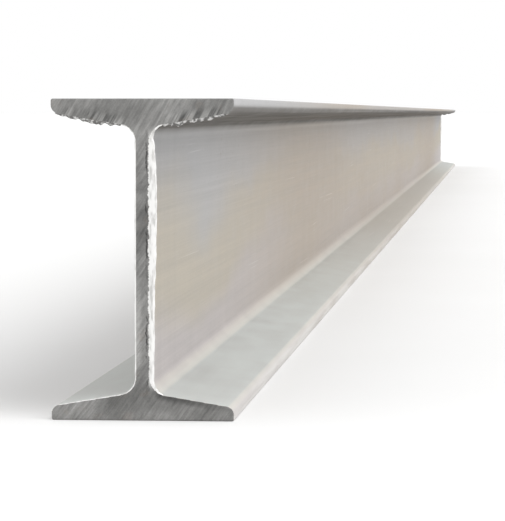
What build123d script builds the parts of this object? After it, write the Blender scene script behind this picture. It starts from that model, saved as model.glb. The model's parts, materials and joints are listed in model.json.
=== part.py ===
"""Hot-rolled taper-flange steel I-beam: one bar of stock, standing on its lower flange.

Frame: X across the flanges, Y along the bar, Z up. The origin is under the middle of the
bar, at the centre of the face that it rests on. All sizes are in millimetres.
"""

import os

from build123d import *

# Driving dimensions: a 140 mm section in a stock length
beam_length = 6000.0
section_height = 140.0
flange_width = 80.0
web_thickness = 5.5
flange_thickness = 9.1  # mean thickness, gauged halfway along the flange's outstand
flange_slope = 1 / 6  # taper of the flange's inner face
root_radius = 7.5  # between web and flange
toe_radius = 3.8  # inner edge of the flange's tip
corner_radius = 1.0  # outer edge of the flange's tip, as it leaves the rolls

# Derived sizes: the flange thins from its root at the web to its tip
outstand = (flange_width - web_thickness) / 2
taper = flange_slope * outstand
root_thickness = flange_thickness + taper / 2
tip_thickness = flange_thickness - taper / 2

# Each side pocket widens from the web out to the flange tips
half_web = web_thickness / 2
half_width = flange_width / 2
pocket_half_height_at_web = section_height / 2 - root_thickness
pocket_half_height_at_tip = section_height / 2 - tip_thickness

# The section is drawn about its own centre, at half its height above the floor
section_plane = Plane.XZ.shift_origin((0, 0, section_height / 2))

with BuildPart() as i_beam:
    with BuildSketch(section_plane) as section:
        RectangleRounded(flange_width, section_height, corner_radius)
        with BuildLine() as pocket_outline:
            Polyline(
                (half_width, pocket_half_height_at_tip),
                (half_web, pocket_half_height_at_web),
                (half_web, -pocket_half_height_at_web),
                (half_width, -pocket_half_height_at_tip),
                close=True,
            )
        right_pocket = make_face(mode=Mode.SUBTRACT)
        mirror(right_pocket, about=Plane.YZ, mode=Mode.SUBTRACT)

        # The corners left by the pockets: roots nearest the web, toes at the flange tips
        roots = section.vertices().group_by(lambda corner: abs(corner.X))[0]
        fillet(roots, root_radius)
        tips = section.vertices().group_by(lambda corner: abs(corner.X))[-1]
        toes = tips.group_by(lambda corner: abs(corner.Y))[0]
        fillet(toes, toe_radius)
    extrude(amount=beam_length / 2, both=True)

i_beam.part.label = "i_beam"

os.makedirs("parts", exist_ok=True)
export_step(i_beam.part, "parts/i_beam.step")

section_area = section.sketch.area
print(f"section area {section_area:.1f} mm2, tip thickness {tip_thickness:.2f} mm")
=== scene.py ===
"""Looks of a hot-rolled taper-flange steel I-beam: mill scale, sawn ends, burrs and a plain studio.

Frame: X across the flanges, Y along the bar, Z up, in metres. The bar stands on its lower flange,
with its near end at -Y.
"""

import json
import logging
import math
import random
from abc import ABC, abstractmethod
from collections.abc import Callable, Iterator
from contextlib import contextmanager
from dataclasses import dataclass, field, replace
from enum import Enum
from functools import cached_property
from typing import Union

import bmesh
import bpy
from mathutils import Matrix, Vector

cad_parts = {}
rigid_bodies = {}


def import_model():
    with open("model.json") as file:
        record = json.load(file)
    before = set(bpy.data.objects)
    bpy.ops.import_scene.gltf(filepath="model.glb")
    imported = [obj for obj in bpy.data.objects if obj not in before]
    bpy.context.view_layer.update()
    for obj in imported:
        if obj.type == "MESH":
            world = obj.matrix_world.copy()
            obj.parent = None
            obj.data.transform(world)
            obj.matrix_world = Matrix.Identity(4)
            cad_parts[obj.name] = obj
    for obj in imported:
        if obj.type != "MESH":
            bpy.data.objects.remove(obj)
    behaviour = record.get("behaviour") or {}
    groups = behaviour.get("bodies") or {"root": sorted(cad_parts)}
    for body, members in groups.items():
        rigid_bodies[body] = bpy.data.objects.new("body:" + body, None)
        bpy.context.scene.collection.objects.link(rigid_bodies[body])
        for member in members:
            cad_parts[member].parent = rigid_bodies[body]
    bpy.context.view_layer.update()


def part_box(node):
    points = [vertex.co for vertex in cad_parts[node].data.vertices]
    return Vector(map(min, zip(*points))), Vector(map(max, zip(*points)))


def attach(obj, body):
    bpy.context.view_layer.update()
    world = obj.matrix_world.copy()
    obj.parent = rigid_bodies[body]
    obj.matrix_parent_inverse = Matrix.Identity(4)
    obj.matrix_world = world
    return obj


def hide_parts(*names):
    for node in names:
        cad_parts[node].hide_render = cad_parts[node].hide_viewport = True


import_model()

log = logging.getLogger("i_beam")

MM = 0.001
BODY = "root"
NODE = "i_beam"
# Two places closer than TOUCHING are one place, and points closer than MERGING are merged, in metres.
TOUCHING = 1e-6
MERGING = 1e-7
PLACE_DIGITS = 6
# A face is square to an axis when more than this much of its normal lies along it.
SQUARE_ON = 0.9
NOISE_MEAN = 0.5

Triple = tuple[float, float, float]
Colour = tuple[float, float, float]
Pair = tuple[float, float]
Sockets = dict[Union[str, int], object]
Paint = Union[Colour, bpy.types.NodeSocket]


class Element(Enum):
    """What an edit-mode selection is made of."""

    VERTEX = "VERT"
    EDGE = "EDGE"
    FACE = "FACE"


class CutFinish(Enum):
    """The finishes of a cut end, by their place among its materials."""

    SCALE = 0
    SAWN = 1
    BURR = 2
    TORN = 3


class End(Enum):
    """One of the bar's two cut ends; the value is the way that it faces along Y."""

    NEAR = -1
    FAR = 1


class Edge(Enum):
    """An edge of the cut that carries burr."""

    INNER = "the lower flange's inner face, the roots and the web's side"
    UNDERSIDE = "the upper flange's underside"


@dataclass(frozen=True)
class Section:
    """The rolled section's sizes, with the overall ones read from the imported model."""

    width: float
    height: float
    length: float
    web: float = 5.5 * MM
    flange: float = 9.1 * MM
    slope: float = 1 / 6
    root_radius: float = 7.5 * MM
    toe_radius: float = 3.8 * MM
    corner_radius: float = 1.0 * MM

    @classmethod
    def of_node(cls, node: str) -> "Section":
        """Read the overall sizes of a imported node.

        Args:
            node: The node's name.

        Returns:
            The node's section.
        """
        low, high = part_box(node)
        size = high - low
        return cls(width=size.x, height=size.z, length=size.y)

    @property
    def half_web(self) -> float:
        """Half the web's thickness."""
        return self.web / 2

    @property
    def half_width(self) -> float:
        """Half the flange's width."""
        return self.width / 2

    @property
    def outstand(self) -> float:
        """How far a flange stands out from the web."""
        return self.half_width - self.half_web

    @property
    def taper(self) -> float:
        """How much a flange thins from root to tip."""
        return self.slope * self.outstand

    @property
    def root_thickness(self) -> float:
        """The flange's thickness at the web."""
        return self.flange + self.taper / 2

    @property
    def inner_level(self) -> float:
        """How far from mid-height a flange's inner face meets the web."""
        return self.height / 2 - self.root_thickness

    @property
    def root_reach(self) -> float:
        """How far from the web's middle a root's rounding reaches."""
        return self.half_web + self.root_radius

    @property
    def inner_setback(self) -> float:
        """A round corner's tangent length for a radius of 1 on the tapered inner face."""
        return math.tan((math.pi / 2 - math.atan(self.slope)) / 2)

    def from_middle(self, z: float) -> float:
        """Return how far a height is from mid-height."""
        return abs(z - self.height / 2)


# Modelling helpers


def deselect_all() -> None:
    """Leave object mode's selection empty, the loaded nodes included."""
    for obj in bpy.context.view_layer.objects:
        obj.select_set(False)


@contextmanager
def edit_mode(obj: bpy.types.Object) -> Iterator[None]:
    """Hold an object in edit mode for the length of a with block, as the only one selected.

    Args:
        obj: The mesh object to edit.
    """
    deselect_all()
    obj.select_set(True)
    bpy.context.view_layer.objects.active = obj
    bpy.ops.object.mode_set(mode="EDIT")
    try:
        yield
    finally:
        bpy.ops.object.mode_set(mode="OBJECT")


def edited_mesh() -> bmesh.types.BMesh:
    """Return the mesh that is in edit mode."""
    return bmesh.from_edit_mesh(bpy.context.active_object.data)


def select(element: Element, test: Callable[..., bool]) -> None:
    """Select, in edit mode, exactly the elements that pass a test.

    Args:
        element: Whether vertices, edges or faces are tested.
        test: Takes a mesh element and says whether it is wanted.
    """
    bpy.ops.mesh.select_mode(type=element.value)
    bpy.ops.mesh.select_all(action="DESELECT")
    mesh = edited_mesh()
    mesh.verts.index_update()
    items = {Element.VERTEX: mesh.verts, Element.EDGE: mesh.edges, Element.FACE: mesh.faces}[element]
    for item in items:
        if test(item):
            item.select_set(True)
    mesh.select_flush_mode()
    bmesh.update_edit_mesh(bpy.context.active_object.data)


def selected_vertices() -> set[int]:
    """Return the numbers of the vertices that are selected in edit mode.

    Returns:
        The vertices' numbers, good until the mesh gains or loses one.
    """
    mesh = edited_mesh()
    mesh.verts.index_update()
    return {vertex.index for vertex in mesh.verts if vertex.select}


def middle(edge: bmesh.types.BMEdge) -> Vector:
    """Return the middle of an edge."""
    return (edge.verts[0].co + edge.verts[1].co) / 2


def move_selected(step: Triple) -> None:
    """Move what is selected in edit mode by a step."""
    bpy.ops.transform.translate(value=step)


def draw_out(step: Triple) -> None:
    """Extrude what is selected in edit mode by a step."""
    bpy.ops.mesh.extrude_region_move(TRANSFORM_OT_translate={"value": step})


def cut_across(place: Triple, normal: Triple) -> None:
    """Cut the whole mesh in edit mode at a place with a plane of that normal, keeping both sides."""
    bpy.ops.mesh.select_all(action="SELECT")
    bpy.ops.mesh.bisect(plane_co=place, plane_no=normal)


def face_outwards() -> None:
    """Turn every face of the closed mesh in edit mode outwards."""
    bpy.ops.mesh.select_all(action="SELECT")
    bpy.ops.mesh.normals_make_consistent(inside=False)


def number_by_place() -> None:
    """Number the elements of the mesh in edit mode by place, so that a shake is the same in every run."""
    mesh = edited_mesh()
    kinds = (
        (mesh.verts, lambda vertex: vertex.co),
        (mesh.edges, middle),
        (mesh.faces, lambda face: face.calc_center_median()),
    )
    for items, place in kinds:
        in_order = sorted(items, key=lambda item: tuple(round(part, PLACE_DIGITS) for part in place(item)))
        for number, item in enumerate(in_order):
            item.index = number
        items.sort()
    bmesh.update_edit_mesh(bpy.context.active_object.data)


def piecewise(points: tuple[Pair, ...], place: float) -> float:
    """Return the height of a line through points at a place.

    Args:
        points: Pairs of place and height, in order of place.
        place: Where to read the line.

    Returns:
        The height there, or the nearest end's height outside the points.
    """
    for (start, low), (stop, high) in zip(points, points[1:]):
        if place <= stop:
            share = max(place - start, 0.0) / (stop - start)
            return low + (high - low) * share
    return points[-1][1]


def finish_piece(obj: bpy.types.Object, smooth_angle: float) -> None:
    """Close a piece, shade it and let it ride on the bar's body.

    Args:
        obj: The modelled piece, with its materials.
        smooth_angle: Edges that turn by more degrees than this stay crisp.
    """
    with edit_mode(obj):
        bpy.ops.mesh.select_all(action="SELECT")
        bpy.ops.mesh.remove_doubles(threshold=MERGING)
        face_outwards()
    bpy.ops.object.shade_smooth_by_angle(angle=math.radians(smooth_angle))
    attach(obj, BODY)
    log.info("%s: %d faces", obj.name, len(obj.data.polygons))


# Shader helpers


@dataclass(frozen=True)
class Pattern:
    """A noise, and what it does to the finish that has it.

    The lumps are their lengths along X, Y and Z, or the lines' pitch, in millimetres. The detail is octaves
    of finer noise and the roughness how strong those are. The seed is where in the noise to start. The step
    is where a mask of the noise rises. The tone, gloss and relief are how much the noise changes the
    colour, the roughness and the height.
    """

    lumps: tuple[float, ...]
    detail: float
    seed: float = 0.0
    roughness: float = 0.5
    step: Pair = (0.0, 1.0)
    tone: float = 0.0
    gloss: float = 0.0
    relief: float = 0.0


class Value:
    """A number that changes over a surface; Python's operators on it add Math nodes."""

    def __init__(self, shader: "Shader", socket: bpy.types.NodeSocket) -> None:
        """Wrap an output socket of a shader's tree."""
        self.shader = shader
        self.socket = socket

    def __add__(self, other: "Number") -> "Value":
        """Return the sum."""
        return self.shader.math("ADD", self, other)

    def __sub__(self, other: "Number") -> "Value":
        """Return the difference."""
        return self.shader.math("SUBTRACT", self, other)

    def __rsub__(self, other: "Number") -> "Value":
        """Return the difference, with the number first."""
        return self.shader.math("SUBTRACT", other, self)

    def __mul__(self, other: "Number") -> "Value":
        """Return the product."""
        return self.shader.math("MULTIPLY", self, other)

    def __pow__(self, other: "Number") -> "Value":
        """Return the power."""
        return self.shader.math("POWER", self, other)

    def root(self) -> "Value":
        """Return the square root."""
        return self.shader.math("SQRT", self)

    def __abs__(self) -> "Value":
        """Return the size without its sign."""
        return self.shader.math("ABSOLUTE", self)

    __radd__ = __add__
    __rmul__ = __mul__

    def between(self, low: float, high: float) -> "Value":
        """Return a mask with a smooth step.

        Args:
            low: Where the mask is 0.
            high: Where it is 1; it may be the smaller.

        Returns:
            The mask.
        """
        inputs = {"Value": self, "From Min": low, "From Max": high}
        made = self.shader.node("ShaderNodeMapRange", {"interpolation_type": "SMOOTHSTEP"}, inputs)
        return Value(self.shader, made.outputs["Result"])

    def span(self, none: float, full: float) -> "Value":
        """Return a number that is none where the value is 0 and full where it is 1."""
        return self * (full - none) + none

    def swing(self, weight: "Number") -> "Value":
        """Return a noise's distance from its mean, times a weight."""
        return (self - NOISE_MEAN) * weight


Number = Union[Value, float]


class Texture(Value):
    """A noise on a surface, which knows its pattern."""

    def __init__(self, shader: "Shader", socket: bpy.types.NodeSocket, pattern: Pattern) -> None:
        """Wrap a noise's output socket."""
        super().__init__(shader, socket)
        self.pattern = pattern

    @property
    def mask(self) -> Value:
        """A mask from 0 to 1 that rises at the pattern's step."""
        return self.between(*self.pattern.step)

    @property
    def tone(self) -> Value:
        """How much lighter or darker the noise makes the colour."""
        return self.swing(self.pattern.tone)

    @property
    def gloss(self) -> Value:
        """How much rougher or smoother the noise makes the surface."""
        return self.swing(self.pattern.gloss)

    @property
    def relief(self) -> Value:
        """How much height the noise gives the surface."""
        return self * self.pattern.relief


class Shader:
    """A node tree under construction, with the few kinds of step that the finishes use."""

    MIX_SHARE, MIX_FIRST, MIX_SECOND, MIX_RESULT = 0, 6, 7, 2

    def __init__(self, tree: bpy.types.NodeTree) -> None:
        """Empty a tree and keep it."""
        tree.nodes.clear()
        self.tree = tree

    def node(
        self, kind: str, settings: dict | None = None, sockets: Sockets | None = None
    ) -> bpy.types.Node:
        """Add a node.

        Args:
            kind: The node's type.
            settings: Its properties.
            sockets: What each input socket, by name or number, holds or is linked to.

        Returns:
            The new node.
        """
        made = self.tree.nodes.new(kind)
        for name, setting in (settings or {}).items():
            setattr(made, name, setting)
        for key, given in (sockets or {}).items():
            given = given.socket if isinstance(given, Value) else given
            if isinstance(given, bpy.types.NodeSocket):
                self.tree.links.new(given, made.inputs[key])
            else:
                made.inputs[key].default_value = given
        return made

    def math(self, operation: str, *terms: Number) -> Value:
        """Return the result of a Math node's operation on terms."""
        made = self.node("ShaderNodeMath", {"operation": operation}, dict(enumerate(terms)))
        return Value(self, made.outputs[0])

    def split(self, vector: bpy.types.NodeSocket) -> tuple[Value, Value, Value]:
        """Return a vector's parts along X, Y and Z."""
        made = self.node("ShaderNodeSeparateXYZ", sockets={"Vector": vector})
        return tuple(Value(self, part) for part in made.outputs)

    @cached_property
    def place(self) -> bpy.types.NodeSocket:
        """The point's place on the object, in metres."""
        return self.node("ShaderNodeTexCoord").outputs["Object"]

    @cached_property
    def axes(self) -> tuple[Value, Value, Value]:
        """The point's x, y and z on the object, in metres."""
        return self.split(self.place)

    @cached_property
    def upward(self) -> Value:
        """How far the surface faces up, from -1 to 1."""
        return self.split(self.node("ShaderNodeNewGeometry").outputs["Normal"])[-1]

    def texture(self, pattern: Pattern, dimensions: str, place: Sockets) -> Texture:
        """Add a noise node.

        Args:
            pattern: The noise's pattern.
            dimensions: In how many dimensions it changes, as the node names them.
            place: The socket of the place and what it is linked to.

        Returns:
            The noise, about 0.5 on average.
        """
        sockets = {"Scale": 1.0, "Detail": pattern.detail, "Roughness": pattern.roughness}
        made = self.node("ShaderNodeTexNoise", {"noise_dimensions": dimensions}, place | sockets)
        return Texture(self, made.outputs["Fac"], pattern)

    def noise(self, pattern: Pattern, turn: Triple = (0.0, 0.0, 0.0)) -> Texture:
        """Add a noise on the object's own coordinates.

        Args:
            pattern: The noise's pattern.
            turn: How its lumps are turned about X, Y and Z, in radians.

        Returns:
            The noise.
        """
        mapping = self.node(
            "ShaderNodeMapping",
            {"vector_type": "TEXTURE"},
            {
                "Vector": self.place,
                "Location": (pattern.seed, pattern.seed, pattern.seed),
                "Rotation": turn,
                "Scale": tuple(size * MM for size in pattern.lumps),
            },
        )
        return self.texture(pattern, "3D", {"Vector": mapping.outputs["Vector"]})

    def ruled(self, pattern: Pattern, along: Value) -> Texture:
        """Rule the surface with the lines of a noise that changes along one distance only."""
        (pitch,) = pattern.lumps
        return self.texture(pattern, "1D", {"W": along * (1.0 / (pitch * MM)) + pattern.seed})

    def mix(self, share: Number, first: Paint, second: Paint, blend: str = "MIX") -> bpy.types.NodeSocket:
        """Mix two colours.

        Args:
            share: How much of the second.
            first: A colour or a colour socket.
            second: A colour or a colour socket.
            blend: The way of mixing.

        Returns:
            The mixed colour's socket.
        """
        pair = [(*c, 1.0) if isinstance(c, tuple) else c for c in (first, second)]
        made = self.node(
            "ShaderNodeMix",
            {"data_type": "RGBA", "blend_type": blend},
            {self.MIX_SHARE: share, self.MIX_FIRST: pair[0], self.MIX_SECOND: pair[1]},
        )
        return made.outputs[self.MIX_RESULT]

    def layers(self, ground: Paint, *coats: tuple[Number, Paint]) -> Paint:
        """Lay coats over a ground colour, one after another.

        Args:
            ground: The colour or colour socket beneath.
            coats: Each coat's share and its colour or colour socket.

        Returns:
            The colour socket of the last coat.
        """
        for share, coat in coats:
            ground = self.mix(share, ground, coat)
        return ground

    def shade(self, colour: Paint, share: Value) -> bpy.types.NodeSocket:
        """Return a colour made lighter or darker by a factor that is 1 on average."""
        grey = self.node("ShaderNodeCombineXYZ", sockets={"X": share, "Y": share, "Z": share})
        return self.mix(1.0, colour, grey.outputs["Vector"], "MULTIPLY")

    def bump(self, height: Value, depth: float, strength: float) -> bpy.types.NodeSocket:
        """Return a normal that follows a height, of which 1 is worth a depth and a strength shows."""
        sockets = {"Height": height, "Distance": depth, "Strength": strength}
        return self.node("ShaderNodeBump", sockets=sockets).outputs["Normal"]

    def surface(self, sockets: Sockets) -> None:
        """Finish a material's tree with a surface shader that has these inputs."""
        shader = self.node("ShaderNodeBsdfPrincipled", sockets=sockets)
        self.node("ShaderNodeOutputMaterial", sockets={"Surface": shader.outputs["BSDF"]})


# Finishes. A pair says where a mask rises from 0 to 1. A pair named a span says what 0 and 1 become.


class Finish(ABC):
    """A look that can be made into a material of its name."""

    name: str

    @abstractmethod
    def build(self, shader: Shader) -> None:
        """Build the finish's nodes in a shader's tree."""

    def material(self) -> bpy.types.Material:
        """Make the finish into a material.

        Returns:
            The new material.
        """
        material = bpy.data.materials.new(self.name)
        material.use_nodes = True
        self.build(Shader(material.node_tree))
        return material


@dataclass(frozen=True)
class MillScale(Finish):
    """The satin grey scale that hot rolling leaves, with soft tints, roll streaks and scratches, and painted
    light: shade under the upper flange, highlights along the lower root and the flange tips, and a sheen low
    on the web.
    """

    section: Section
    name: str = "mill_scale"
    cool: Colour = (0.395, 0.394, 0.400)
    beige: Colour = (0.428, 0.390, 0.328)
    # Lighter and rosy, low on the web: partly the scale's tint, partly a painted sheen.
    rosy: Colour = (0.440, 0.410, 0.405)
    brown: Colour = (0.370, 0.318, 0.266)
    dust: Colour = (0.605, 0.640, 0.622)
    old_dust: Colour = (0.485, 0.468, 0.428)
    painted_shade: Colour = (0.090, 0.083, 0.075)
    bare: Colour = (0.66, 0.65, 0.63)
    # Painted shade: the dark colour laid under the upper flange and along the web's top.
    rust: Colour = (0.20, 0.105, 0.055)
    # Painted highlight along the lower root's rounding.
    root_highlight: Colour = (0.66, 0.63, 0.57)
    edge_tint: Colour = (0.60, 0.57, 0.53)

    mottle: Pattern = Pattern((14.0, 40.0, 14.0), 4.0, 1.4, tone=0.22, gloss=0.26, relief=0.35)
    streaks: Pattern = Pattern((4.0, 1100.0, 4.0), 3.0, 0.5, tone=0.36, gloss=0.2)
    hairlines: Pattern = Pattern((0.9, 200.0, 0.9), 2.0, 0.8, tone=0.16, relief=0.3)
    grain: Pattern = Pattern((1.1, 1.4, 1.1), 3.0, 2.0, tone=0.20, relief=0.5)
    warp: Pattern = Pattern((150.0, 480.0, 130.0), 3.0, 0.3)
    weather: Pattern = Pattern((300.0, 1600.0, 300.0), 2.0, 2.7, step=(0.34, 0.60))
    bands: Pattern = Pattern((900.0, 26.0, 900.0), 2.0, 0.2)
    rubbing: Pattern = Pattern((5.0, 170.0, 5.0), 3.0, 2.9, step=(0.36, 0.58))
    lines: Pattern = Pattern((1.3,), 0.0, step=(0.72, 0.78))
    runs: Pattern = Pattern((25.0, 260.0, 25.0), 2.0, step=(0.63, 0.72))
    specks: Pattern = Pattern((3.8, 6.5, 3.8), 4.0, 4.4, roughness=0.65, step=(0.62, 0.72))
    damp: Pattern = Pattern((120.0, 420.0, 120.0), 2.0, 6.1, step=(0.52, 0.66))

    metallic: float = 0.22
    specular: float = 0.18
    roughness: float = 0.50
    relief_depth: float = 0.08 * MM
    relief_strength: float = 0.35

    cool_from: Pair = (82.0 * MM, 114.0 * MM)
    rosy_from: Pair = (62.0 * MM, 30.0 * MM)
    band_wander: float = 130.0 * MM
    fresh_length: Pair = (0.1, 1.1)
    brown_span: Pair = (0.45, 0.95)
    heated_length: float = 0.16
    heated_span: Pair = (0.06, 0.36)

    top_skin: float = 1.0 * MM
    lying: Pair = (0.62, 0.98)
    dusty_length: Pair = (0.5, 2.2)
    dust_span: Pair = (0.45, 0.95)
    dust_below_span: Pair = (0.12, 1.0)
    dust_gloss: float = 0.08
    # Where the painted highlight lies along the lower root and how strong it is.
    root_from: Pair = (0.30, 0.70)
    root_until: Pair = (0.985, 0.90)
    root_highlight_span: Pair = (0.20, 0.70)
    root_highlight_aged_span: Pair = (1.0, 0.35)

    # The scale rubbed off the flange tips, which also carries a painted highlight, stronger on the lower
    # flange.
    wear_and_highlight_width: float = 2.0 * MM
    wear_and_highlight_span: Pair = (0.55, 1.0)
    wear_and_highlight_below_span: Pair = (0.06, 0.80)
    wear_and_highlight_aged_span: Pair = (1.0, 0.45)
    scratch_starts: tuple[Triple, ...] = ((31.0, 3.1, 0.006), (43.0, 4.3, -0.014))
    scratch_upright: Pair = (0.2, 0.05)
    scratch_lying: Pair = (0.94, 0.98)
    scratch_share: float = 0.10
    scratch_gloss: float = 0.12
    rust_share: float = 0.45
    rust_depth: float = 0.3

    # Where the painted shade falls on the upper flange's underside and the web's top.
    painted_shade_from: Pair = (-15.0 * MM, 2.0 * MM)
    painted_shade_upright: Pair = (0.3, 0.0)
    painted_shade_clear_of_top: Pair = (2.0 * MM, 6.0 * MM)
    painted_shade_by_root: Pair = (-0.25, -0.85)
    painted_shade_by_toe: Pair = (0.05, -0.40)
    painted_shade_toe_reach: Pair = (2.5, 1.0)
    painted_shade_beside_span: Pair = (-0.11, 0.39)
    painted_shade_beneath_span: Pair = (0.62, 1.02)

    def build(self, shader: Shader) -> None:
        """Build the finish's nodes.

        Args:
            shader: The tree to add to.
        """
        s, upward = self.section, shader.upward
        patterns = (self.mottle, self.streaks, self.hairlines, self.grain)
        mottle, streaks, hairlines, grain = (shader.noise(pattern) for pattern in patterns)
        below = shader.axes[2].between(s.height - self.top_skin, s.height / 2)
        aged = self.from_ends(shader, self.dusty_length)
        resting = upward.between(*self.lying) * below.span(*self.dust_below_span)
        # Where the painted highlight along the lower root lies.
        in_root = upward.between(*self.root_from) * upward.between(*self.root_until) * below
        worn_and_highlit = self.edge_wear_and_highlight(shader) * below.span(*self.wear_and_highlight_below_span)
        scratched = self.scratches(shader)
        rusty = shader.noise(self.specks).mask * shader.noise(self.damp).mask
        colour = shader.layers(
            shader.shade(self.tint_and_sheen(shader), 1.0 + streaks.tone + hairlines.tone + mottle.tone + grain.tone),
            # Painted shade: the upper flange's underside and the web's top darkened where shade falls.
            (self.painted_shade_mask(shader, streaks), self.painted_shade),
            (resting * mottle.span(*self.dust_span), shader.mix(aged, self.dust, self.old_dust)),
            # Painted highlight along the lower root's rounding, weaker away from the ends.
            (in_root * mottle.span(*self.root_highlight_span) * aged.span(*self.root_highlight_aged_span), self.root_highlight),
            # The scale rubbed off the flange tips, with a painted highlight there, stronger on the lower
            # flange.
            (worn_and_highlit * aged.span(*self.wear_and_highlight_aged_span), self.bare),
            (scratched * self.scratch_share, self.bare),
            (rusty * self.rust_share, self.rust),
        )
        dulled = resting * self.dust_gloss - scratched * self.scratch_gloss
        height = grain.relief + mottle.relief + hairlines.relief - rusty * self.rust_depth
        shader.surface(
            {
                "Base Color": colour,
                "Metallic": self.metallic,
                "Specular IOR Level": self.specular,
                "Specular Tint": (*self.edge_tint, 1.0),
                "Roughness": self.roughness + mottle.gloss + streaks.gloss + dulled,
                "Normal": shader.bump(height, self.relief_depth, self.relief_strength),
            }
        )

    def tint_and_sheen(self, shader: Shader) -> bpy.types.NodeSocket:
        """Return the scale's soft tints: cool at the top, beige halfway, rosy low, brown away from the ends;
        the lighter rosy band low on the web is partly a painted sheen.

        Args:
            shader: The tree to add to.

        Returns:
            The colour socket of the tints and the painted sheen.
        """
        _, y, z = shader.axes
        level = z + shader.noise(self.warp).swing(self.band_wander)
        inner = self.from_ends(shader, self.fresh_length)
        colour = shader.layers(
            self.beige,
            (level.between(*self.cool_from), self.cool),
            # The lighter rosy band low on the web: partly the scale's tint, partly a painted sheen.
            (level.between(*self.rosy_from), self.rosy),
            (inner * shader.noise(self.weather).mask.span(*self.brown_span), self.brown),
        )
        half_length = self.section.length / 2
        heated = abs(y).between(half_length - self.heated_length, half_length)
        return shader.shade(colour, 1.0 + shader.noise(self.bands).swing(heated.span(*self.heated_span)))

    def from_ends(self, shader: Shader, reach: Pair) -> Value:
        """Return a mask that rises from 0 at the fresh cuts to 1 where the scale is older, over a reach."""
        half_length = self.section.length / 2
        return abs(shader.axes[1]).between(half_length - reach[0], half_length - reach[1])

    def painted_shade_mask(self, shader: Shader, streaks: Value) -> Value:
        """Return the painted shade on the sheltered faces: the upper flange's underside and the web's top.

        Args:
            shader: The tree to add to.
            streaks: The scale's long streaks, which break the painted shade up.

        Returns:
            A mask from 0, unshaded, to about 1.
        """
        x, _, z = shader.axes
        s, upward = self.section, shader.upward
        under = s.height - s.root_thickness
        beside = (z - under).between(*self.painted_shade_from) * upward.between(*self.painted_shade_upright)
        beside = beside * (s.height - z).between(*self.painted_shade_clear_of_top)
        toe_start, toe_end = (reach * s.toe_radius for reach in self.painted_shade_toe_reach)
        at_toe = (s.half_width - abs(x)).between(toe_start, toe_end)
        by_root = upward.between(*self.painted_shade_by_root)
        facing_down = by_root + at_toe * (upward.between(*self.painted_shade_by_toe) - by_root)
        beneath = facing_down * z.between(s.height / 2, under)
        beside = beside * streaks.span(*self.painted_shade_beside_span)
        return beside + beneath * streaks.span(*self.painted_shade_beneath_span)

    def edge_wear_and_highlight(self, shader: Shader) -> Value:
        """Return a mask of the scale rubbed off along the flange tips, which also carries a painted
        highlight.
        """
        at_tip = (self.section.half_width - abs(shader.axes[0])).between(self.wear_and_highlight_width, 0.0)
        return at_tip * shader.noise(self.rubbing).mask.span(*self.wear_and_highlight_span)

    def scratches(self, shader: Shader) -> Value:
        """Return a mask of a few thin handling scratches on the flat faces, in short lengthwise runs.

        Args:
            shader: The tree to add to.

        Returns:
            A mask from 0 to about 1.
        """
        x, y, z = shader.axes
        upward = shader.upward
        marks = 0.0
        for line_seed, run_seed, slope in self.scratch_starts:
            lines = shader.ruled(replace(self.lines, seed=line_seed), x + z + y * slope)
            marks = marks + lines.mask * shader.noise(replace(self.runs, seed=run_seed)).mask
        return marks * (abs(upward).between(*self.scratch_upright) + upward.between(*self.scratch_lying))


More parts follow.
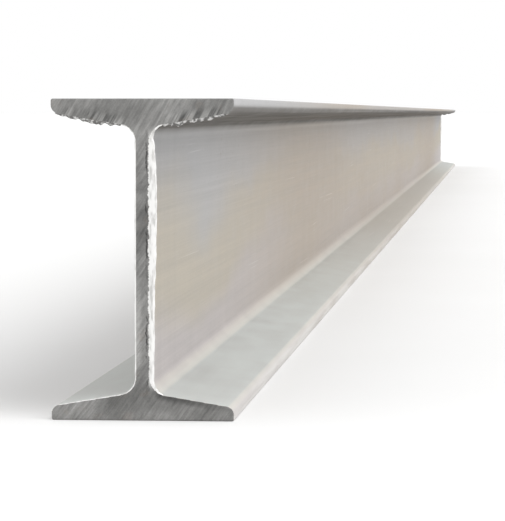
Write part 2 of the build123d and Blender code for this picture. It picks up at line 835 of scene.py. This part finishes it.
@dataclass(frozen=True)
class SawnSteel(Finish):
    """A saw-cut end: dull grey steel with the blade's curved marks and a torn seam beside the burr, with
    painted glints, painted shade in the sunk marks and the seam, and painted light low on the web's left
    side.
    """

    section: Section
    name: str = "sawn_steel"
    steel: Colour = (0.245, 0.243, 0.236)
    dark: Colour = (0.150, 0.149, 0.144)
    bright: Colour = (0.40, 0.395, 0.385)
    # Near black: painted shade in the sunk marks and the torn seam, and the dark line along the lower
    # flange's edge.
    seam: Colour = (0.030, 0.029, 0.028)
    smear: Colour = (0.74, 0.735, 0.72)
    rust: Colour = (0.20, 0.125, 0.075)

    marks: Pattern = Pattern((1.7,), 2.0, relief=0.25)
    fine_marks: Pattern = Pattern((0.9,), 2.0, tone=0.4, relief=0.15)
    tears: Pattern = Pattern((2.6,), 2.0, step=(0.42, 0.58))
    broken: Pattern = Pattern((6.0, 6.0, 24.0), 3.0, 0.4, step=(0.42, 0.62), tone=0.5, gloss=0.3)
    pits: Pattern = Pattern((1.5, 1.5, 7.0), 4.0, 3.8, roughness=0.6, tone=0.95, relief=0.7)
    grain: Pattern = Pattern((0.8, 0.8, 0.8), 3.0, 0.9, tone=0.4, relief=0.5)
    chatter: Pattern = Pattern((9.0, 9.0, 9.0), 2.0, 2.2, step=(0.50, 0.62))
    stain: Pattern = Pattern((26.0, 26.0, 26.0), 3.0, 1.7, step=(0.44, 0.66))
    rust_spots: Pattern = Pattern((6.5, 6.5, 6.5), 4.0, 2.6, step=(0.60, 0.72))
    torn_patches: Pattern = Pattern((11.0, 11.0, 11.0), 2.0, 8.4, step=(0.40, 0.55))
    dark_line_rag: Pattern = Pattern((4.0, 4.0, 4.0), 3.0, 9.2)
    smear_rag: Pattern = Pattern((30.0, 30.0, 2.2), 4.0, 7.3, roughness=0.7)
    seam_rag: Pattern = Pattern((30.0, 30.0, 5.0), 3.0, 3.3, roughness=0.65)
    seam_gaps: Pattern = Pattern((60.0, 60.0, 13.0), 2.0, 5.1, step=(0.46, 0.54))
    seam_teeth: Pattern = Pattern((30.0, 30.0, 1.6), 1.0, 4.1, step=(0.30, 0.46))

    metallic: float = 0.35
    specular: float = 0.3
    roughness: float = 0.52
    relief_depth: float = 0.12 * MM
    relief_strength: float = 0.55
    web_tone: float = 0.90
    flange_tone_span: Pair = (0.06, 0.16)
    root_blend: float = 8.0 * MM

    blade_centre: Pair = (-0.62, 0.48)
    raised: Pair = (0.53, 0.66)
    glint_share: float = 0.18
    glint_gloss: float = 0.12
    # Sunk marks, darkened with painted shade.
    sunk: Pair = (0.47, 0.36)
    gouge_shade_share: float = 0.14
    gouge_depth: float = 0.2
    rust_share: float = 0.10

    torn_tone: float = 0.8
    torn_height: Pair = (5.0 * MM, 1.5 * MM)
    torn_below_top: float = 30.0 * MM
    torn_inset: float = 2.0 * MM
    torn_end: Pair = (2.0 * MM, 9.0 * MM)

    # A dark line along the lower flange's inner edge, on the right.
    dark_line_share: float = 0.62
    dark_line_wander: float = 2.0 * MM
    dark_line_height: Pair = (3.6 * MM, 0.6 * MM)
    dark_line_top: Pair = (46.7 * MM, 28.0 * MM)
    dark_line_start: Pair = (1.5 * MM, 5.5 * MM)
    dark_line_fading: Pair = (16.0 * MM, 32.0 * MM)
    dark_line_fading_span: Pair = (1.0, 0.45)

    # Painted light on the web's left side, low down.
    left_light_share: float = 0.7
    left_light_x: Pair = (0.55 * MM, -1.925 * MM)
    left_light_reach: Pair = (5.0 * MM, 3.0 * MM)
    left_light_bottom: Pair = (12.0 * MM, 30.0 * MM)
    left_light_top: Pair = (63.0 * MM, 47.6 * MM)

    smear_wander: float = 3.0 * MM
    smear_from: Pair = (-0.1 * MM, 0.2 * MM)
    # How dark the painted shadow in the torn seam is.
    seam_shadow_share: float = 0.85
    seam_inset: float = 0.9 * MM
    seam_wander: float = 3.0 * MM
    seam_width: Pair = (0.50 * MM, 0.15 * MM)
    seam_end: Pair = (12.0 * MM, 20.0 * MM)

    @property
    def sweep(self) -> Triple:
        """How the blade's marks lean at mid-height, as turns about X, Y and Z in radians."""
        across, up = self.blade_centre
        return 0.0, math.atan2(up - self.section.height / 2, -across), 0.0

    def build(self, shader: Shader) -> None:
        """Build the finish's nodes.

        Args:
            shader: The tree to add to.
        """
        s, z = self.section, shader.axes[2]
        marks = self.blade_marks(shader, self.marks)
        fine_marks = self.blade_marks(shader, self.fine_marks)
        broken = shader.noise(self.broken, self.sweep)
        pits = shader.noise(self.pits, self.sweep)
        grain = shader.noise(self.grain)
        glint = marks.between(*self.raised) * broken.mask
        gouges = marks.between(*self.sunk) * shader.noise(self.chatter).mask
        seam = self.torn_seam_shadow(shader)
        lighter = self.off_web(shader) * z.between(s.height / 2, s.height).span(*self.flange_tone_span)
        streaks = self.torn_streaks(shader) * self.torn_tone
        tone = self.web_tone + lighter + grain.tone + pits.tone + broken.tone + fine_marks.tone + streaks
        steel = shader.layers(
            self.steel,
            (shader.noise(self.stain).mask, self.dark),
            (glint * self.glint_share, self.bright),
            # Painted shade in the sunk marks.
            (gouges * self.gouge_shade_share, self.seam),
            # Painted light on the web's left side, low down.
            (self.left_painted_light(shader) * self.left_light_share, self.bright),
        )
        colour = shader.layers(
            shader.shade(steel, tone),
            (shader.noise(self.rust_spots).mask * self.rust_share, self.rust),
            # Painted shadow in the torn seam.
            (seam, self.seam),
            # A dark line along the lower flange's inner edge, on the right.
            (self.dark_edge_line(shader) * self.dark_line_share, self.seam),
            (self.smeared_edge(shader), self.smear),
        )
        relief = marks.relief + fine_marks.relief + grain.relief + pits.relief
        height = relief - gouges * self.gouge_depth - seam
        shader.surface(
            {
                "Base Color": colour,
                "Metallic": self.metallic,
                "Specular IOR Level": self.specular,
                "Roughness": self.roughness + broken.gloss - glint * self.glint_gloss,
                "Normal": shader.bump(height, self.relief_depth, self.relief_strength),
            }
        )

    def blade_marks(self, shader: Shader, lines: Pattern) -> Texture:
        """Return the blade's marks, as uneven rings about its centre.

        Args:
            shader: The tree to add to.
            lines: The rings' pattern.

        Returns:
            The marks' noise.
        """
        x, _, z = shader.axes
        across, up = self.blade_centre
        return shader.ruled(lines, ((x - across) ** 2.0 + (z - up) ** 2.0).root())

    def off_web(self, shader: Shader) -> Value:
        """Return a mask of the flanges, which is 0 on the web between them."""
        s = self.section
        return abs(shader.axes[2] - s.height / 2).between(s.inner_level - self.root_blend, s.inner_level)

    def torn_streaks(self, shader: Shader) -> Value:
        """Return the light and dark streaks that the blade tore above the upper flange's underside.

        Args:
            shader: The tree to add to.

        Returns:
            A tone from -0.5 to 0.5 in the torn strip, and 0 outside it.
        """
        x, _, z = shader.axes
        s, out = self.section, abs(x)
        above = z - (s.height - s.root_thickness) - (out - s.half_web) * s.slope
        strip = above.between(*self.torn_height) * z.between(s.height / 2, s.height - self.torn_below_top)
        strip = strip * out.between(s.half_web + self.torn_inset, s.root_reach)
        strip = strip * (s.half_width - out).between(*self.torn_end)
        streaks = self.blade_marks(shader, self.tears).mask - NOISE_MEAN
        return streaks * strip * shader.noise(self.torn_patches).mask

    def dark_edge_line(self, shader: Shader) -> Value:
        """Return a mask of the dark line along the lower flange's inner edge, on the right.

        Args:
            shader: The tree to add to.

        Returns:
            A mask from 0 to 1.
        """
        x, _, z = shader.axes
        s = self.section
        ragged = shader.noise(self.dark_line_rag).swing(self.dark_line_wander)
        below = s.root_thickness - (x - s.half_web) * s.slope - z + ragged
        line = below.between(*self.dark_line_height) * z.between(*self.dark_line_top)
        fading = x.between(*self.dark_line_fading).span(*self.dark_line_fading_span)
        return line * (x - s.half_web).between(*self.dark_line_start) * fading

    def left_painted_light(self, shader: Shader) -> Value:
        """Return a mask of the painted light on the web's left side, low down.

        Args:
            shader: The tree to add to.

        Returns:
            A mask from 0 to 1.
        """
        x, _, z = shader.axes
        left = x.between(*self.left_light_x) * abs(x).between(*self.left_light_reach)
        return left * z.between(*self.left_light_top) * z.between(*self.left_light_bottom)

    def smeared_edge(self, shader: Shader) -> Value:
        """Return a mask of the bright metal smeared from the web's lip onto the sawn face."""
        edge = shader.noise(self.smear_rag).swing(self.smear_wander) + shader.axes[0] - self.section.half_web
        return edge.between(*self.smear_from) * (1.0 - self.off_web(shader))

    def torn_seam_shadow(self, shader: Shader) -> Value:
        """Return a mask of the painted shadow in the broken seam between the web's sawn face and its burr.

        Args:
            shader: The tree to add to.

        Returns:
            A mask from 0 to about 1.
        """
        x, _, z = shader.axes
        s = self.section
        wander = shader.noise(self.seam_rag).swing(self.seam_wander)
        line = abs(x - (s.half_web - self.seam_inset) + wander).between(*self.seam_width)
        on_web = (s.height / 2 - abs(z - s.height / 2)).between(*self.seam_end)
        gaps, teeth = shader.noise(self.seam_gaps), shader.noise(self.seam_teeth)
        return line * on_web * gaps.mask * teeth.mask * self.seam_shadow_share


@dataclass(frozen=True)
class BurrSteel(Finish):
    """The torn metal of a saw burr, bright where it is smeared and dull where it is broken."""

    name: str = "burr_steel"
    bright: Colour = (0.83, 0.825, 0.81)
    dull: Colour = (0.54, 0.535, 0.52)
    patches: Pattern = Pattern((1.4, 1.4, 7.0), 3.0, 0.6, step=(0.44, 0.70), relief=0.6)
    grain: Pattern = Pattern((0.6, 0.6, 0.6), 2.0, 1.2, relief=0.4)
    metallic: float = 0.6
    roughness_span: Pair = (0.36, 0.56)
    relief_depth: float = 0.15 * MM
    relief_strength: float = 0.5

    def build(self, shader: Shader) -> None:
        """Build the finish's nodes.

        Args:
            shader: The tree to add to.
        """
        patches = shader.noise(self.patches)
        height = patches.relief + shader.noise(self.grain).relief
        shader.surface(
            {
                "Base Color": shader.mix(patches.mask, self.bright, self.dull),
                "Metallic": self.metallic,
                "Roughness": patches.mask.span(*self.roughness_span),
                "Normal": shader.bump(height, self.relief_depth, self.relief_strength),
            }
        )


TORN_STEEL = BurrSteel(
    name="torn_steel",
    bright=(0.56, 0.555, 0.545),
    dull=(0.13, 0.128, 0.122),
    patches=Pattern((1.5, 1.5, 1.5), 3.0, 0.6, step=(0.36, 0.56), relief=0.6),
    metallic=0.4,
)


@dataclass(frozen=True)
class PaleFloor(Finish):
    """A plain pale floor with a trace of unevenness."""

    name: str = "pale_floor"
    pale: Colour = (0.82, 0.82, 0.82)
    dusty: Colour = (0.805, 0.805, 0.803)
    dust: Pattern = Pattern((900.0, 900.0, 900.0), 3.0, 0.7, step=(0.40, 0.60))
    roughness: float = 0.8
    specular: float = 0.1

    def build(self, shader: Shader) -> None:
        """Build the finish's nodes.

        Args:
            shader: The tree to add to.
        """
        shader.surface(
            {
                "Base Color": shader.mix(shader.noise(self.dust).mask, self.pale, self.dusty),
                "Roughness": self.roughness,
                "Specular IOR Level": self.specular,
            }
        )


# The object's pieces


@dataclass
class RolledBar:
    """The bar itself, roughed out as a web, with flanges drawn out of it and its corners rounded."""

    section: Section
    name: str = "i_beam_bar"
    root_segments: int = 10
    toe_segments: int = 8
    corner_segments: int = 4
    round_profile: float = 0.5
    flat_angle: float = 0.2
    smooth_angle: float = 25.0
    obj: bpy.types.Object = field(init=False)

    def build(self) -> None:
        """Model the bar with plain square ends."""
        self.rough_out()
        with edit_mode(self.obj):
            self.draw_flanges()
            self.round_corners()
            self.merge_flats()

    def rough_out(self) -> None:
        """Add the web at full height, with a cut line at each flange's root."""
        s = self.section
        deselect_all()
        bpy.ops.mesh.primitive_cube_add(size=1.0, location=(0.0, 0.0, s.height / 2))
        self.obj = bpy.context.active_object
        self.obj.name = self.obj.data.name = self.name
        self.obj.scale = (s.web, s.length, s.height)
        bpy.ops.object.transform_apply(location=True, rotation=True, scale=True)
        with edit_mode(self.obj):
            for level in (s.root_thickness, s.height - s.root_thickness):
                cut_across((0.0, 0.0, level), (0.0, 0.0, 1.0))

    def draw_flanges(self) -> None:
        """Extrude both flanges to both sides and thin their tips."""
        s = self.section

        def is_flange(face: bmesh.types.BMFace) -> bool:
            """Say whether a face is on a flange's height."""
            return s.from_middle(face.calc_center_median().z) > s.inner_level

        for side in (1, -1):
            select(Element.FACE, lambda f: f.normal.x * side > SQUARE_ON and is_flange(f))
            draw_out((side * s.outstand, 0.0, 0.0))
        for side in (1, -1):
            root_z = s.height / 2 + side * s.inner_level
            select(
                Element.VERTEX,
                lambda v: abs(v.co.x) > s.half_width - TOUCHING and abs(v.co.z - root_z) < TOUCHING,
            )
            move_selected((0.0, 0.0, side * s.taper))

    def round_corners(self) -> None:
        """Round the roots, the toes and the outer edges of the flanges."""
        s = self.section

        def lengthwise(x: float, level: float) -> Callable[[bmesh.types.BMEdge], bool]:
            """Make a test for the long edges at a place in the section.

            Args:
                x: The edges' distance from the web's middle.
                level: Their distance from mid-height.

            Returns:
                The test.
            """
            return lambda e: (
                abs(e.verts[0].co.y - e.verts[1].co.y) > s.length / 2
                and abs(abs(middle(e).x) - x) < TOUCHING
                and abs(s.from_middle(middle(e).z) - level) < TOUCHING
            )

        corners = (
            (s.half_web, s.inner_level, s.root_radius * s.inner_setback, self.root_segments),
            (s.half_width, s.inner_level + s.taper, s.toe_radius * s.inner_setback, self.toe_segments),
            (s.half_width, s.height / 2, s.corner_radius, self.corner_segments),
        )
        for x, level, setback, segments in corners:
            select(Element.EDGE, lengthwise(x, level))
            bpy.ops.mesh.bevel(
                offset_type="OFFSET",
                offset=setback,
                segments=segments,
                profile=self.round_profile,
                affect="EDGES",
                clamp_overlap=False,
            )

    def merge_flats(self) -> None:
        """Join the faces that lie in one plane, so that each end is a single face."""
        bpy.ops.mesh.select_all(action="SELECT")
        bpy.ops.mesh.dissolve_limited(angle_limit=math.radians(self.flat_angle))
        face_outwards()

    def dress(self, scale: bpy.types.Material) -> None:
        """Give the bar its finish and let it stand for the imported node.

        Args:
            scale: The bar's material.
        """
        obj = self.obj
        obj.data.materials.append(scale)
        finish_piece(obj, self.smooth_angle)
        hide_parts(NODE)


@dataclass(frozen=True)
class Burr:
    """A strip of burr along one edge of a cut end, on the section's right (1) or left (-1) side.

    Its heights are pairs of a place along the strip and the burr's height there, in millimetres. On the
    underside the place is the distance from the web's middle. On the inner edge it is minus that distance
    along the lower flange, and then the height above the floor up the web. Its reach is how far from the
    web's middle it runs along the lower flange.
    """

    side: int
    edge: Edge
    finish: CutFinish
    heights: tuple[Pair, ...]
    swing: float
    memory: float
    torn: float
    reach: float = 0.0


SMOOTH_LIP = Burr(
    side=1,
    edge=Edge.INNER,
    finish=CutFinish.BURR,
    heights=(
        (11.0, 0.0), (12.0, 0.4), (14.0, 1.6), (19.0, 2.3), (48.0, 2.3), (64.0, 2.9), (84.0, 3.2),
        (112.0, 3.0), (120.0, 2.5), (125.0, 1.3), (128.0, 0.4), (129.0, 0.1),
    ),
    swing=0.045,
    memory=0.9,
    torn=0.07 * MM,
)
THIN_LIP = Burr(
    side=-1,
    edge=Edge.INNER,
    finish=CutFinish.BURR,
    heights=((-40.0, 0.0), (-20.0, 0.1), (12.0, 0.3), (56.0, 0.5), (130.0, 0.25)),
    swing=0.1,
    memory=0.7,
    torn=0.10 * MM,
    reach=40.0 * MM,
)
RIGHT_CRUST = Burr(
    side=1,
    edge=Edge.UNDERSIDE,
    finish=CutFinish.TORN,
    heights=((9.0, 1.3), (14.0, 1.9), (20.0, 1.0), (26.0, 1.4), (32.0, 0.9), (36.0, 0.5), (40.0, 0.0)),
    swing=0.75,
    memory=0.2,
    torn=0.22 * MM,
)
LEFT_CRUST = replace(
    RIGHT_CRUST,
    side=-1,
    heights=((9.0, 0.5), (14.0, 1.1), (19.0, 1.6), (26.0, 1.2), (32.0, 0.7), (37.0, 0.3), (40.0, 0.0)),
)


@dataclass
class CutEnd:
    """The last slice of the bar at one end: its sawn face and the burr that the blade left."""

    section: Section
    end: End
    depth: float = 3.0 * MM
    cell: float = 1.0 * MM
    grid_offset: float = 0.1 * MM
    lip_thickness: float = 1.2 * MM
    least_lip: float = 0.25 * MM
    lean: float = 0.25 * MM
    strip_slack: float = 0.01 * MM
    strip_upright: float = 0.1
    facing_down: float = -0.5
    facing_up: float = 0.2
    tip_gap: float = 2.0 * MM
    root_overlap: float = 2.0 * MM
    steepest: float = 0.985
    torn_outwards: float = 0.4
    unevenness: float = 0.06 * MM
    unevenness_seed: int = 5
    smooth_angle: float = 50.0
    burrs: tuple[Burr, ...] = (SMOOTH_LIP, THIN_LIP, RIGHT_CRUST, LEFT_CRUST)
    obj: bpy.types.Object = field(init=False)

    @property
    def name(self) -> str:
        """The piece's name."""
        return f"{self.end.name.lower()}_cut_end"

    @property
    def face_y(self) -> float:
        """Where the sawn face lies along the bar."""
        return self.end.value * self.section.length / 2

    @property
    def web_reach(self) -> float:
        """How far from the web's middle a strip counts as the web's, its roots included."""
        return self.section.root_reach - self.cell

    def inwards(self, depth: float) -> float:
        """Return the step along Y that leads from the sawn face to a depth in the bar."""
        return -self.end.value * depth

    def build(self, bar: bpy.types.Object, finishes: dict[CutFinish, bpy.types.Material]) -> None:
        """Take the bar's end face, shorten the bar, and model the slice between.

        Args:
            bar: The bar with square ends; it loses the slice's depth.
            finishes: The slice's materials.
        """
        self.split_from(bar)
        for finish in CutFinish:
            self.obj.data.materials.append(finishes[finish])
        with edit_mode(self.obj):
            self.thicken()
            self.divide()
            for number, burr in enumerate(self.burrs):
                self.draw_burr(burr, seed=number + 1)
            self.roughen()
        self.round_edges()
        finish_piece(self.obj, self.smooth_angle)

    def split_from(self, bar: bpy.types.Object) -> None:
        """Copy the end face off the bar as an object of its own and move the bar's own end back.

        Args:
            bar: The bar.
        """
        before = set(bpy.data.objects)
        with edit_mode(bar):
            select(Element.FACE, lambda f: f.normal.y * self.end.value > SQUARE_ON)
            bpy.ops.mesh.duplicate()
            bpy.ops.mesh.separate(type="SELECTED")
            select(Element.VERTEX, lambda v: abs(v.co.y - self.face_y) < TOUCHING)
            move_selected((0.0, self.inwards(self.depth), 0.0))
        self.obj = (set(bpy.data.objects) - before).pop()
        self.obj.name = self.obj.data.name = self.name

    def thicken(self) -> None:
        """Extrude the face back to the bar, as a closed slice."""
        bpy.ops.mesh.select_all(action="SELECT")
        draw_out((0.0, self.inwards(self.depth), 0.0))
        face_outwards()

    def divide(self) -> None:
        """Cut the slice into small cells, with a strip for the burr along the sawn face."""
        s = self.section
        columns = round(s.width / self.cell)
        rows = round(s.height / self.cell)
        for column in range(1, columns):
            cut_across((column * self.cell - s.half_width + self.grid_offset, 0.0, 0.0), (1.0, 0.0, 0.0))
        for row in range(1, rows):
            cut_across((0.0, 0.0, row * self.cell + self.grid_offset), (0.0, 0.0, 1.0))
        cut_across((0.0, self.face_y + self.inwards(self.lip_thickness), 0.0), (0.0, 1.0, 0.0))
        number_by_place()
        select(Element.FACE, lambda f: f.normal.y * self.end.value > SQUARE_ON)
        self.paint(CutFinish.SAWN)

    def paint(self, finish: CutFinish) -> None:
        """Give the faces that are selected in edit mode one of the slice's finishes."""
        self.obj.active_material_index = finish.value
        bpy.ops.object.material_slot_assign()

    def in_strip(self, face: bmesh.types.BMFace) -> bool:
        """Say whether a face is on the burr's strip, between the sawn face and the rest of the slice."""
        off_middle = face.calc_center_median().y - self.face_y - self.inwards(self.lip_thickness / 2)
        return abs(face.normal.y) < self.strip_upright and abs(off_middle) < self.strip_slack

    def carries(self, burr: Burr, face: bmesh.types.BMFace) -> bool:
        """Say whether a face of the slice carries a strip of burr.

        Args:
            burr: The strip.
            face: The face.

        Returns:
            Whether the strip is drawn out of the face.
        """
        if not self.in_strip(face):
            return False
        s = self.section
        place = face.calc_center_median()
        out = burr.side * place.x
        above = place.z > s.height / 2
        if burr.edge is Edge.UNDERSIDE:
            within = self.web_reach < out < s.half_width - self.tip_gap
            return above and within and face.normal.z < self.facing_down
        on_web = 0 < out < self.web_reach and s.from_middle(place.z) < s.inner_level + self.root_overlap
        on_flange = s.half_web < out < burr.reach and not above and face.normal.z > self.facing_up
        return on_web or on_flange

    def draw_burr(self, burr: Burr, seed: int) -> None:
        """Draw a low strip of burr out of the slice, then raise it step by step as the blade left it.

        Args:
            burr: The strip.
            seed: Where its unevenness starts.
        """
        select(Element.FACE, lambda f: self.carries(burr, f))
        bpy.ops.mesh.extrude_region_shrink_fatten(TRANSFORM_OT_shrink_fatten={"value": self.least_lip})
        bpy.ops.mesh.select_more()
        self.paint(burr.finish)
        bpy.ops.mesh.select_less()
        number_by_place()
        drawn = selected_vertices()
        self.raise_burr(burr, drawn)
        select(Element.VERTEX, lambda v: v.index in drawn)
        bpy.ops.transform.vertex_random(offset=burr.torn, normal=self.torn_outwards, seed=seed)

    def raise_burr(self, burr: Burr, drawn: set[int]) -> None:
        """Move a strip's vertices away from the steel, a cell's length at a time, by its wandering height.

        Args:
            burr: The strip.
            drawn: The strip's vertices.
        """
        chance = random.Random(f"{self.name} {burr.edge.name} {burr.side}")
        steps: dict[int, set[int]] = {}
        mesh = edited_mesh()
        for vertex in mesh.verts:
            if vertex.index in drawn:
                step = round(self.along(burr, vertex.co) / self.cell)
                steps.setdefault(step, set()).add(vertex.index)
        swing = 0.0
        for step, members in sorted(steps.items()):
            place = step * self.cell
            swing = burr.memory * swing + burr.swing * chance.uniform(-1.0, 1.0)
            height = max(piecewise(burr.heights, place / MM) * (1.0 + swing), 0.0) * MM
            across, up = self.away_from_steel(burr, place)
            forward = self.end.value * self.lean * chance.random()
            select(Element.VERTEX, lambda v: v.index in members)
            move_selected((burr.side * across * height, forward, up * height))

    def along(self, burr: Burr, place: Vector) -> float:
        """Return how far along its strip a point is.

        Args:
            burr: The strip.
            place: The point.

        Returns:
            The place along the strip, as the strip's heights give it, in metres.
        """
        out = burr.side * place.x
        if burr.edge is Edge.UNDERSIDE:
            return out
        return -out if out > self.web_reach and place.z < self.section.height / 2 else place.z

    def away_from_steel(self, burr: Burr, place: float) -> Pair:
        """Return the direction, outwards and up, that the steel faces at a place along a strip.

        Args:
            burr: The strip.
            place: The place along it.

        Returns:
            The direction's parts away from the web and up.
        """
        s = self.section
        if burr.edge is Edge.UNDERSIDE:
            return 0.0, -1.0
        if place < 0:
            return -math.sin(math.atan(s.slope)), math.cos(math.atan(s.slope))
        round_from = s.inner_level - s.root_radius * s.inner_setback
        past = min(max(s.from_middle(place) - round_from, 0.0) / s.root_radius, self.steepest)
        up = past if place < s.height / 2 else -past
        return math.sqrt(1.0 - up * up), up

    def roughen(self) -> None:
        """Make the sawn face slightly uneven and keep the edges crisp where the slice joins the bar."""
        back_y = self.face_y + self.inwards(self.depth)
        number_by_place()
        select(Element.VERTEX, lambda v: abs(v.co.y - self.face_y) < TOUCHING and v.co.z > self.cell)
        bpy.ops.transform.vertex_random(offset=self.unevenness, normal=1.0, seed=self.unevenness_seed)
        select(Element.EDGE, lambda e: abs(middle(e).y - back_y) < TOUCHING)
        bpy.ops.transform.edge_crease(value=1.0)

    def round_edges(self) -> None:
        """Round the slice's other edges and its burr."""
        rounding = self.obj.modifiers.new("rounding", "SUBSURF")
        rounding.levels = rounding.render_levels = 1
        bpy.ops.object.modifier_apply(modifier=rounding.name)


# The studio


@dataclass
class Studio:
    """A pale floor in an even white room, a broad light from the upper right, and the photo's viewpoint."""

    floor_radius: float = 160.0
    floor_sides: int = 96
    room_colour: Colour = (1.0, 1.0, 1.0)
    room_light: float = 1.0
    key_light: float = 1.6
    key_angle: float = 55.0
    key_from: Triple = (0.75, -0.45, 0.85)
    eye: Triple = (0.155, -4.245, 0.134)
    aim: Triple = (0.048, -3.0, 0.070)
    lens_mm: float = 200.0
    clip: Pair = (0.05, 400.0)

    def build(self) -> None:
        """Set up the floor, the light and the camera."""
        self.lay_floor()
        self.light_room()
        self.hang_key()
        self.set_camera()
        bpy.context.scene.view_settings.view_transform = "Standard"

    def lay_floor(self) -> None:
        """Lay the floor as a wide disc."""
        deselect_all()
        bpy.ops.mesh.primitive_circle_add(
            vertices=self.floor_sides, radius=self.floor_radius, fill_type="NGON"
        )
        floor = bpy.context.active_object
        floor.name = "floor"
        floor.data.materials.append(PaleFloor().material())

    def light_room(self) -> None:
        """Fill the room with even white light."""
        world = bpy.data.worlds.new("studio")
        world.use_nodes = True
        bpy.context.scene.world = world
        shader = Shader(world.node_tree)
        sockets = {"Color": (*self.room_colour, 1.0), "Strength": self.room_light}
        room = shader.node("ShaderNodeBackground", sockets=sockets)
        shader.node("ShaderNodeOutputWorld", sockets={"Surface": room.outputs["Background"]})

    def hang_key(self) -> None:
        """Hang a broad, far light that shines evenly along the whole bar."""
        light = bpy.data.lights.new("key", "SUN")
        light.energy = self.key_light
        light.angle = math.radians(self.key_angle)
        obj = bpy.data.objects.new("key", light)
        bpy.context.scene.collection.objects.link(obj)
        obj.rotation_euler = Vector(self.key_from).to_track_quat("Z", "Y").to_euler()

    def set_camera(self) -> None:
        """Stand the camera where the photo was taken from, aimed at the bar."""
        camera = bpy.data.cameras.new("camera")
        camera.lens = self.lens_mm
        camera.clip_start, camera.clip_end = self.clip
        obj = bpy.data.objects.new("camera", camera)
        bpy.context.scene.collection.objects.link(obj)
        obj.location = self.eye
        obj.rotation_euler = (Vector(self.aim) - Vector(self.eye)).to_track_quat("-Z", "Y").to_euler()
        bpy.context.scene.camera = obj


def main() -> None:
    """Build the bar, its cut ends and the studio, in that order."""
    logging.basicConfig(level=logging.INFO, format="%(name)s %(message)s")
    section = Section.of_node(NODE)
    finishes = {
        CutFinish.SCALE: MillScale(section).material(),
        CutFinish.SAWN: SawnSteel(section).material(),
        CutFinish.BURR: BurrSteel().material(),
        CutFinish.TORN: TORN_STEEL.material(),
    }
    bar = RolledBar(section)
    bar.build()
    for end in End:
        CutEnd(section, end).build(bar.obj, finishes)
    bar.dress(finishes[CutFinish.SCALE])
    Studio().build()


if __name__ == "__main__":
    main()
